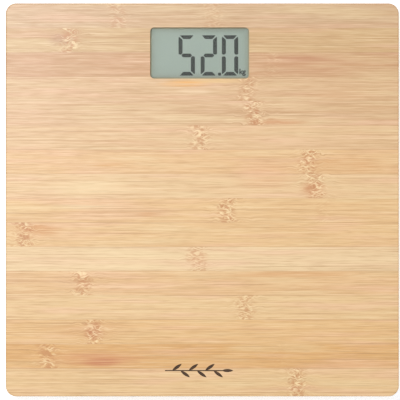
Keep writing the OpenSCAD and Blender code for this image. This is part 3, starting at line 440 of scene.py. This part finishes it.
# stamped and plated metals: drawing and tumbling leave fine scratches, so the highlight breaks up
# along them, and the plating dulls a little where it is scratched; real scratches are some
# hundredths of a millimetre apart, too fine to show, so they are drawn ten times as coarse

metals = {
    # hex, roughness, scratch spacing (mm), stretch along x, y and z
    "zincPlatedSteel": ("#C9CCD0", 0.3, 0.6, (1, 1, 1)),
    "nickelPlatedSpring": ("#CFC9BE", 0.24, 0.6, (0.2, 1, 1)),
    "stampedSteel": ("#B9BABC", 0.36, 0.6, (0.15, 1, 1)),
    "tinSolder": ("#D6D7D8", 0.2, 0.8, (1, 1, 1)),
}
metalParts = {
    "zincPlatedSteel": ["pcb_screws", "tray_screws", "foot_screws"],
    "nickelPlatedSpring": [
        "battery_springs", "contact_bridge", "contact_positive", "contact_negative", "crystal",
    ],
    "stampedSteel": ["load_cell_" + corner for corner in corners],
    "tinSolder": ["solder_joints"],
}
scratches = {
    "dulled": (0.86, 0.83, 0.78), "span": (0.45, 0.8), "smoother": 0.08, "rougher": 0.1,
    "depth": 0.02,  # mm
}


def metalMaterial(name, hexText, roughness, spacing, stretch):
    material, tree = newMaterial(name)
    where = addNode(tree, "TexCoord")
    drawn = addNode(tree, "Mapping", {"Vector": where.outputs["Object"], "Scale": stretch})
    scratch = addNode(tree, "TexNoise", {
        "Vector": drawn, "Scale": 1 / (spacing * mm), "Detail": 3.0,
    })
    base = linear(hexText)
    dulled = [part * share for part, share in zip(base, scratches["dulled"])] + [1]
    shade = addNode(tree, "ValToRGB", [scratch], stops=list(zip(scratches["span"], (base, dulled))))
    smoothest, roughest = roughness - scratches["smoother"], roughness + scratches["rougher"]
    rough = addNode(tree, "MapRange", [scratch, *noiseSpan, smoothest, roughest])
    bump = addNode(tree, "Bump", {
        "Height": scratch, "Strength": 0.2, "Distance": scratches["depth"] * mm,
    })
    shader = addNode(tree, "BsdfPrincipled", {
        "Base Color": shade, "Metallic": 1.0, "Roughness": rough, "Normal": bump,
    })
    addNode(tree, "OutputMaterial", [shader])
    return material


for name, settings in metals.items():
    made = metalMaterial(name, *settings)
    for nodeName in metalParts[name]:
        coat(nodeName, made)
print("metal parts done")


# wires: extruded PVC, whose drawn skin is smooth and glossy, and its colour wavers slowly along it

wires = {
    "red": ("#B3261E", "#9C1E18"), "white": ("#E4E1D8", "#D3CFC4"), "black": ("#1D1D1F", "#28282B"),
    "waver": 9.0,  # mm
    "gloss": (0.32, 0.44), "harness": ["red", "white", "black"], "leads": ["red", "black"],
}


def extrudedPvc(name, bright, dull):
    material, tree = newMaterial("extrudedPvc" + name.capitalize())
    where = addNode(tree, "TexCoord").outputs["Object"]
    waver = addNode(tree, "TexNoise", {
        "Vector": where, "Scale": 1 / (wires["waver"] * mm), "Detail": 1.0,
    })
    shade = addNode(tree, "ValToRGB", [waver], stops=list(zip(noiseSpan, (bright, dull))))
    rough = addNode(tree, "MapRange", [waver, *noiseSpan, *wires["gloss"]])
    shader = addNode(tree, "BsdfPrincipled", {"Base Color": shade, "Roughness": rough, "IOR": 1.53})
    addNode(tree, "OutputMaterial", [shader])
    return material


# a wire's skins follow each other in its node's mesh, so they are numbered and shared out evenly
def coatWires(nodeName, skins):
    data = nodes[nodeName].data
    data.materials.clear()
    for skin in skins:
        data.materials.append(skin)
    mesh = bmesh.new()
    mesh.from_mesh(data)
    numbers, count = {}, 0
    for start in mesh.verts:
        if start in numbers:
            continue
        numbers[start], waiting = count, [start]
        while waiting:
            for edge in waiting.pop().link_edges:
                for near in edge.verts:
                    if near not in numbers:
                        numbers[near] = count
                        waiting.append(near)
        count += 1
    for face in mesh.faces:
        data.polygons[face.index].material_index = numbers[face.verts[0]] * len(skins) // count
    mesh.free()


pvc = {name: extrudedPvc(name, *wires[name]) for name in wires["harness"]}
coatWires("battery_leads", [pvc[name] for name in wires["leads"]])
for corner in corners:
    coatWires("wire_harness_" + corner, [pvc[name] for name in wires["harness"]])

# tape: creped paper, so the light catches on its cross wrinkles; real ones are under 1 mm apart,
# and are drawn coarser so that they show

tape = {"shades": [(0.2, "#D9BE86"), (0.8, "#C7A86B")], "wrinkle": 1.6, "depth": 0.05}  # mm


def crepePaperTape():
    material, tree = newMaterial("crepePaperTape")
    where = addNode(tree, "TexCoord").outputs["Object"]
    wrinkle = addNode(tree, "TexWave", {
        "Vector": where, "Scale": 1 / (tape["wrinkle"] * mm), "Distortion": 6.0, "Detail": 2.0,
    }).outputs["Fac"]
    shade = addNode(tree, "ValToRGB", [wrinkle], stops=tape["shades"])
    bump = addNode(tree, "Bump", {"Height": wrinkle, "Strength": 0.5, "Distance": tape["depth"] * mm})
    shader = addNode(tree, "BsdfPrincipled", {"Base Color": shade, "Roughness": 0.7, "Normal": bump})
    addNode(tree, "OutputMaterial", [shader])
    return material


coat("harness_tapes", crepePaperTape())

# circuit board: glass epoxy under a glossy green mask that shows its copper tracks as raised,
# paler lines; they are drawn wider apart than real ones so that they show

board = {
    "mask": "#1C5A34", "maskDark": "#1A5430", "track": "#2F7A4A", "gloss": (0.26, 0.36),
    "pitch": 3.2, "depth": 0.04,  # mm
    "turn": 0.785,  # radians, an eighth of a turn
}


def solderMask():
    material, tree = newMaterial("greenSolderMask")
    where = addNode(tree, "TexCoord")
    turned = addNode(tree, "Mapping", {
        "Vector": where.outputs["Object"], "Rotation": (0, 0, board["turn"]),
    })
    tracks = addNode(tree, "TexBrick", {
        "Vector": turned, "Scale": 1 / (board["pitch"] * mm), "Mortar Size": 0.06,
        "Color1": board["mask"], "Color2": board["maskDark"], "Mortar": board["track"],
    }, offset=0.37, squash=0.6)
    raised = tracks.outputs["Fac"]
    rough = addNode(tree, "MapRange", [raised, 0, 1, *board["gloss"]])
    bump = addNode(tree, "Bump", {"Height": raised, "Strength": 0.5, "Distance": board["depth"] * mm})
    shader = addNode(tree, "BsdfPrincipled", {
        "Base Color": tracks, "Roughness": rough, "IOR": 1.55, "Normal": bump,
    })
    addNode(tree, "OutputMaterial", [shader])
    return material


coat("circuit_board", solderMask())

# batteries: a metallised film shrunk round the can, gold at the button end and satin black below,
# with bare steel at both ends; it is smooth, but shallow creases break up its highlight

battery = {
    "steel": "#BDBDBB", "gold": "#C68A35", "black": "#26272A",
    "goldFrom": 0.05, "blackFrom": 0.3, "endFrom": 0.97,  # shares of its length from the button
    "crease": 2.5, "depth": 0.03,  # mm
    "gloss": (0.22, 0.36),
}


def metallisedFilm(button, base):
    material, tree = newMaterial("metallisedFilm")
    where = addNode(tree, "TexCoord").outputs["Object"]
    along = addNode(tree, "SeparateXYZ", [where]).outputs["X"]
    share = addNode(tree, "MapRange", [along, button, base])
    shade = addNode(tree, "ValToRGB", [share], steps="CONSTANT", stops=[
        (0.0, battery["steel"]), (battery["goldFrom"], battery["gold"]),
        (battery["blackFrom"], battery["black"]), (battery["endFrom"], battery["steel"]),
    ])
    creases = addNode(tree, "TexNoise", {
        "Vector": where, "Scale": 1 / (battery["crease"] * mm), "Detail": 2.0,
    })
    rough = addNode(tree, "MapRange", [creases, *noiseSpan, *battery["gloss"]])
    bump = addNode(tree, "Bump", {
        "Height": creases, "Strength": 0.2, "Distance": battery["depth"] * mm,
    })
    shader = addNode(tree, "BsdfPrincipled", {
        "Base Color": shade, "Metallic": 0.7, "Roughness": rough, "Normal": bump,
    })
    addNode(tree, "OutputMaterial", [shader])
    return material


frontLow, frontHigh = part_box("battery_front")
rearLow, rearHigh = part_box("battery_rear")
coat("battery_front", metallisedFilm(frontLow.x, frontHigh.x))
coat("battery_rear", metallisedFilm(rearHigh.x, rearLow.x))  # the cells lie head to tail
print("electrical parts done")


# cast acrylic lens, polished: clear and glossy, with a slow ripple that only shows as it bends a
# reflection; shadow and diffuse rays pass straight through, so that what lies below is lit

lensPlate = {
    "clear": "#F4F8F5", "passed": "#F1F5F2", "haze": (0.02, 0.05),
    "ripple": 14.0, "depth": 0.01,  # mm
}


def castAcrylic():
    material, tree = newMaterial("castAcrylic")
    where = addNode(tree, "TexCoord").outputs["Object"]
    ripple = addNode(tree, "TexNoise", {
        "Vector": where, "Scale": 1 / (lensPlate["ripple"] * mm), "Detail": 1.0,
    })
    haze = addNode(tree, "MapRange", [ripple, *noiseSpan, *lensPlate["haze"]])
    bump = addNode(tree, "Bump", {
        "Height": ripple, "Strength": 0.2, "Distance": lensPlate["depth"] * mm,
    })
    shader = addNode(tree, "BsdfPrincipled", {
        "Base Color": lensPlate["clear"], "Roughness": haze, "IOR": 1.49,
        "Transmission Weight": 1.0, "Normal": bump,
    })
    passing = addNode(tree, "BsdfTransparent", [lensPlate["passed"]])
    rays = addNode(tree, "LightPath").outputs
    lit = addNode(tree, "Math", [rays["Is Shadow Ray"], rays["Is Diffuse Ray"]], operation="MAXIMUM")
    either = addNode(tree, "MixShader", [lit, shader, passing])
    addNode(tree, "OutputMaterial", [either])
    return material


# iodine-dyed film under the lens: matt and grey-green, with painted shade darkening it towards its rim, and
# an olive line of painted shade and reflection of the window's wooden walls round the cell

film = {
    # the second colour is painted shade for the rim, the third is painted shade and reflection of the
    # window's wooden walls
    "ground": "#9CA39D", "edge": "#8F9389", "wallShade": "#968A66",
    "rim": (7.5, 1.5), "wallShadeBand": (2.9, 1.9),  # mm in from its edge: where each starts and is full
    "speck": 0.5,  # mm; its real grain is too fine to show
    "gloss": (0.36, 0.46),
}


def polarisingFilm():
    material, tree = newMaterial("polarisingFilm")
    where = addNode(tree, "TexCoord").outputs["Object"]
    low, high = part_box("front_polariser")
    middle, half = (low + high) / 2, (high - low) / 2
    fromMiddle = addNode(tree, "VectorMath", [where, middle], operation="SUBTRACT")
    fromMiddle = addNode(tree, "VectorMath", [fromMiddle], operation="ABSOLUTE")
    inward = addNode(tree, "VectorMath", [half, fromMiddle], operation="SUBTRACT")
    inwardX, inwardY = addNode(tree, "SeparateXYZ", [inward]).outputs[:2]
    inward = addNode(tree, "Math", [inwardX, inwardY], operation="MINIMUM")
    shade = film["ground"]
    # painted shade: darkens the film towards its rim, then paints the olive line of the walls' shade and
    # reflection
    for band, tint in (("rim", "edge"), ("wallShadeBand", "wallShade")):
        share = addNode(tree, "MapRange", [inward, *(v * mm for v in film[band])], **soft)
        shade = addNode(tree, "Mix", [share, shade, film[tint]], data_type="RGBA")
    speck = addNode(tree, "TexNoise", {"Vector": where, "Scale": 1 / (film["speck"] * mm), "Detail": 1.0})
    rough = addNode(tree, "MapRange", [speck, *noiseSpan, *film["gloss"]])
    shader = addNode(tree, "BsdfPrincipled", {"Base Color": shade, "Roughness": rough, "IOR": 1.5})
    addNode(tree, "OutputMaterial", [shader])
    return material


# thin float glass: clear with a faint green body, and a slow waver left by the float bath

glass = {"body": ("#DFE8E2", "#D8E4DC"), "waver": 20.0, "haze": (0.03, 0.07)}  # waver in mm


def floatGlass():
    material, tree = newMaterial("floatGlass")
    where = addNode(tree, "TexCoord").outputs["Object"]
    waver = addNode(tree, "TexNoise", {
        "Vector": where, "Scale": 1 / (glass["waver"] * mm), "Detail": 1.0,
    })
    body = addNode(tree, "ValToRGB", [waver], stops=list(zip(noiseSpan, glass["body"])))
    rough = addNode(tree, "MapRange", [waver, *noiseSpan, *glass["haze"]])
    shader = addNode(tree, "BsdfPrincipled", {
        "Base Color": body, "Roughness": rough, "IOR": 1.52, "Transmission Weight": 1.0,
    })
    addNode(tree, "OutputMaterial", [shader])
    return material


# the reading, in switched liquid crystal: nearly black, a shade paler where the cell is thinner

display = {
    "ink": ("#0C0F0D", "#121614"), "cell": 12.0,  # mm
    "reading": "52.0",
    "digit": (12.5, 30.8),  # width and height, and all sizes below, in mm
    # corners of a bar, as mm in from the digit's side and down from its top
    "topBar": [(1.0, 0.0), (3.5, 2.85)],
    "sideBar": [(0.0, 1.6), (0.5, 1.1), (3.05, 3.5)],
    # and as mm in from the side and up from the middle
    "sideBarFoot": [(3.05, 1.6), (1.83, 0.5), (0.0, 1.0)],
    "middleBar": [(2.1, 0.0), (3.4, 1.425)],
    "corner": 0.25, "cornerSteps": 3,
    "places": (-9.9, 7.0, 23.2), "rise": -1.7, "point": (15.2, 2.3),
    "inkDepth": 0.04, "unit": "kg", "unitSize": 5.6, "unitPlace": (32.6, -15.9),
    "unitSpacing": 0.95, "unitWeight": 0.2,
}


def liquidCrystal():
    material, tree = newMaterial("liquidCrystal")
    where = addNode(tree, "TexCoord").outputs["Object"]
    cell = addNode(tree, "TexNoise", {"Vector": where, "Scale": 1 / (display["cell"] * mm)})
    shade = addNode(tree, "ValToRGB", [cell], stops=list(zip(noiseSpan, display["ink"])))
    shader = addNode(tree, "BsdfPrincipled", {"Base Color": shade, "Roughness": 0.6, "IOR": 1.4})
    addNode(tree, "OutputMaterial", [shader])
    return material


coat("lens", castAcrylic())
coat("front_polariser", polarisingFilm())
pane = floatGlass()
coat("front_glass", pane)
coat("rear_glass", pane)
ink = liquidCrystal()

windowLow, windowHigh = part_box("front_polariser")
windowMiddle = (windowLow + windowHigh) / 2
inkFloor = windowHigh.z


def mirrored(outline, alongX, alongY):
    return [(x * alongX, y * alongY) for x, y in outline]


# the seven bars of a digit, as outlines round its middle
def digitBars():
    w, h = (v / 2 for v in display["digit"])
    outer, inner = [(x - w, h - y) for x, y in display["topBar"]]
    top = [outer, *mirrored([outer, inner], -1, 1), inner]
    side = [(x - w, h - y) for x, y in display["sideBar"]]
    side += [(x - w, y) for x, y in display["sideBarFoot"]]
    tip, shoulder = [(x - w, y) for x, y in display["middleBar"]]
    middle = [tip, shoulder, *mirrored([shoulder, tip], -1, 1)]
    middle += [*mirrored([shoulder], -1, -1), *mirrored([shoulder], 1, -1)]
    return {
        "a": top, "b": mirrored(side, -1, 1), "c": mirrored(side, -1, -1),
        "d": mirrored(top, 1, -1), "e": mirrored(side, 1, -1), "f": side, "g": middle,
    }


def inkShapes(name, outlines, material):
    mesh = bmesh.new()
    for outline in outlines:
        mesh.faces.new([mesh.verts.new((x * mm, y * mm, 0)) for x, y in outline])
    bmesh.ops.recalc_face_normals(mesh, faces=mesh.faces)
    bmesh.ops.bevel(
        mesh, geom=mesh.verts[:], offset=display["corner"] * mm, segments=display["cornerSteps"],
        affect="VERTICES",
    )
    raised = bmesh.ops.extrude_face_region(mesh, geom=mesh.faces[:])
    lifted = [g for g in raised["geom"] if isinstance(g, bmesh.types.BMVert)]
    bmesh.ops.translate(mesh, vec=(0, 0, display["inkDepth"] * mm), verts=lifted)
    bmesh.ops.recalc_face_normals(mesh, faces=mesh.faces)
    bmesh.ops.translate(mesh, vec=(windowMiddle.x, windowMiddle.y, inkFloor), verts=mesh.verts)
    data = bpy.data.meshes.new(name)
    mesh.to_mesh(data)
    mesh.free()
    piece = bpy.data.objects.new(name, data)
    bpy.context.scene.collection.objects.link(piece)
    data.materials.append(material)
    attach(piece, "platform")


litBars = {
    "0": "abcdef", "1": "bc", "2": "abdeg", "3": "abcdg", "4": "bcfg", "5": "acdfg", "6": "acdefg",
    "7": "abc", "8": "abcdefg", "9": "abcdfg",
}
bars = digitBars()
shapes = []
for place, figure in zip(display["places"], display["reading"].replace(".", "")):
    for bar in litBars[figure]:
        shapes.append([(x + place, y + display["rise"]) for x, y in bars[bar]])
pointX, pointSize = display["point"]
pointY = display["rise"] - display["digit"][1] / 2
pointCorners = ((-0.5, 0), (0.5, 0), (0.5, 1), (-0.5, 1))
shapes.append([(pointX + u * pointSize, pointY + v * pointSize) for u, v in pointCorners])
inkShapes("digits", shapes, ink)

halfInk = display["inkDepth"] / 2 * mm
unitText = bpy.data.curves.new("unitMark", "FONT")
unitText.body = display["unit"]
unitText.size = display["unitSize"] * mm
unitText.space_character = display["unitSpacing"]
unitText.offset = display["unitWeight"] * mm
unitText.extrude = halfInk
unitText.align_x = "CENTER"
unitMark = bpy.data.objects.new("unitMark", unitText)
unitX, unitY = display["unitPlace"]
unitMark.location = (windowMiddle.x + unitX * mm, windowMiddle.y + unitY * mm, inkFloor + halfInk)
bpy.context.scene.collection.objects.link(unitMark)
unitText.materials.append(ink)
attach(unitMark, "platform")
print("display done")


# studio: pale floor, soft light from the display side, a long lens straight above

studio = {
    "frame": 305.1, "aim": (-1.75, -0.1), "height": 2400, "sensor": 36,  # mm
    "reach": 20.0, "floorEdge": 3.0,  # m
    "floor": "#F3F6FA", "floorGlow": "#F3F8FF", "glowStrength": 0.45, "air": "#FFFFFF", "airStrength": 0.54,
    # soft boxes: place and size in metres, then power
    "boxes": {
        "overheadBox": ((-0.5, 0.42, 2.2), 0.5, 21), "displaySideBox": ((-0.1, 1.4, 1.4), 0.6, 5),
        "frontBox": ((0.2, -1.2, 1.6), 1.0, 3),
    },
}


# a pale paper sweep, matt and a little glowing; it is clear from behind, so that the underside shows
def paperSweep():
    material, tree = newMaterial("paperSweep")
    shader = addNode(tree, "BsdfPrincipled", {
        "Base Color": studio["floor"], "Roughness": 0.8,
        "Emission Color": studio["floorGlow"], "Emission Strength": studio["glowStrength"],
    })
    side = addNode(tree, "NewGeometry").outputs["Backfacing"]
    clear = addNode(tree, "BsdfTransparent")
    either = addNode(tree, "MixShader", [side, shader, clear])
    addNode(tree, "OutputMaterial", [either])
    return material


floorMesh = bpy.data.meshes.new("studioFloor")
edge = studio["floorEdge"]
floorCorners = [(-edge, -edge, 0), (edge, -edge, 0), (edge, edge, 0), (-edge, edge, 0)]
floorMesh.from_pydata(floorCorners, [], [(0, 1, 2, 3)])
floorMesh.materials.append(paperSweep())
floor = bpy.data.objects.new("studioFloor", floorMesh)
bpy.context.scene.collection.objects.link(floor)

for name, (place, size, power) in studio["boxes"].items():
    lamp = bpy.data.lights.new(name, "AREA")
    lamp.shape = "DISK"
    lamp.size = size
    lamp.energy = power
    holder = bpy.data.objects.new(name, lamp)
    holder.location = place
    holder.rotation_euler = (-Vector(place)).to_track_quat("-Z", "Y").to_euler()
    bpy.context.scene.collection.objects.link(holder)

world = bpy.data.worlds.new("studioAir")
world.use_nodes = True
air = world.node_tree.nodes["Background"]
air.inputs["Color"].default_value = linear(studio["air"])
air.inputs["Strength"].default_value = studio["airStrength"]
bpy.context.scene.world = world
bpy.context.scene.view_settings.view_transform = "Standard"

optics = bpy.data.cameras.new("copyLens")
optics.sensor_width = studio["sensor"]
optics.lens = studio["sensor"] * studio["height"] / studio["frame"]
optics.clip_end = studio["reach"]
camera = bpy.data.objects.new("copyCamera", optics)
aimX, aimY = studio["aim"]
camera.location = (aimX * mm, aimY * mm, cadBox[1].z + studio["height"] * mm)
bpy.context.scene.collection.objects.link(camera)
bpy.context.scene.camera = camera
print("studio done")
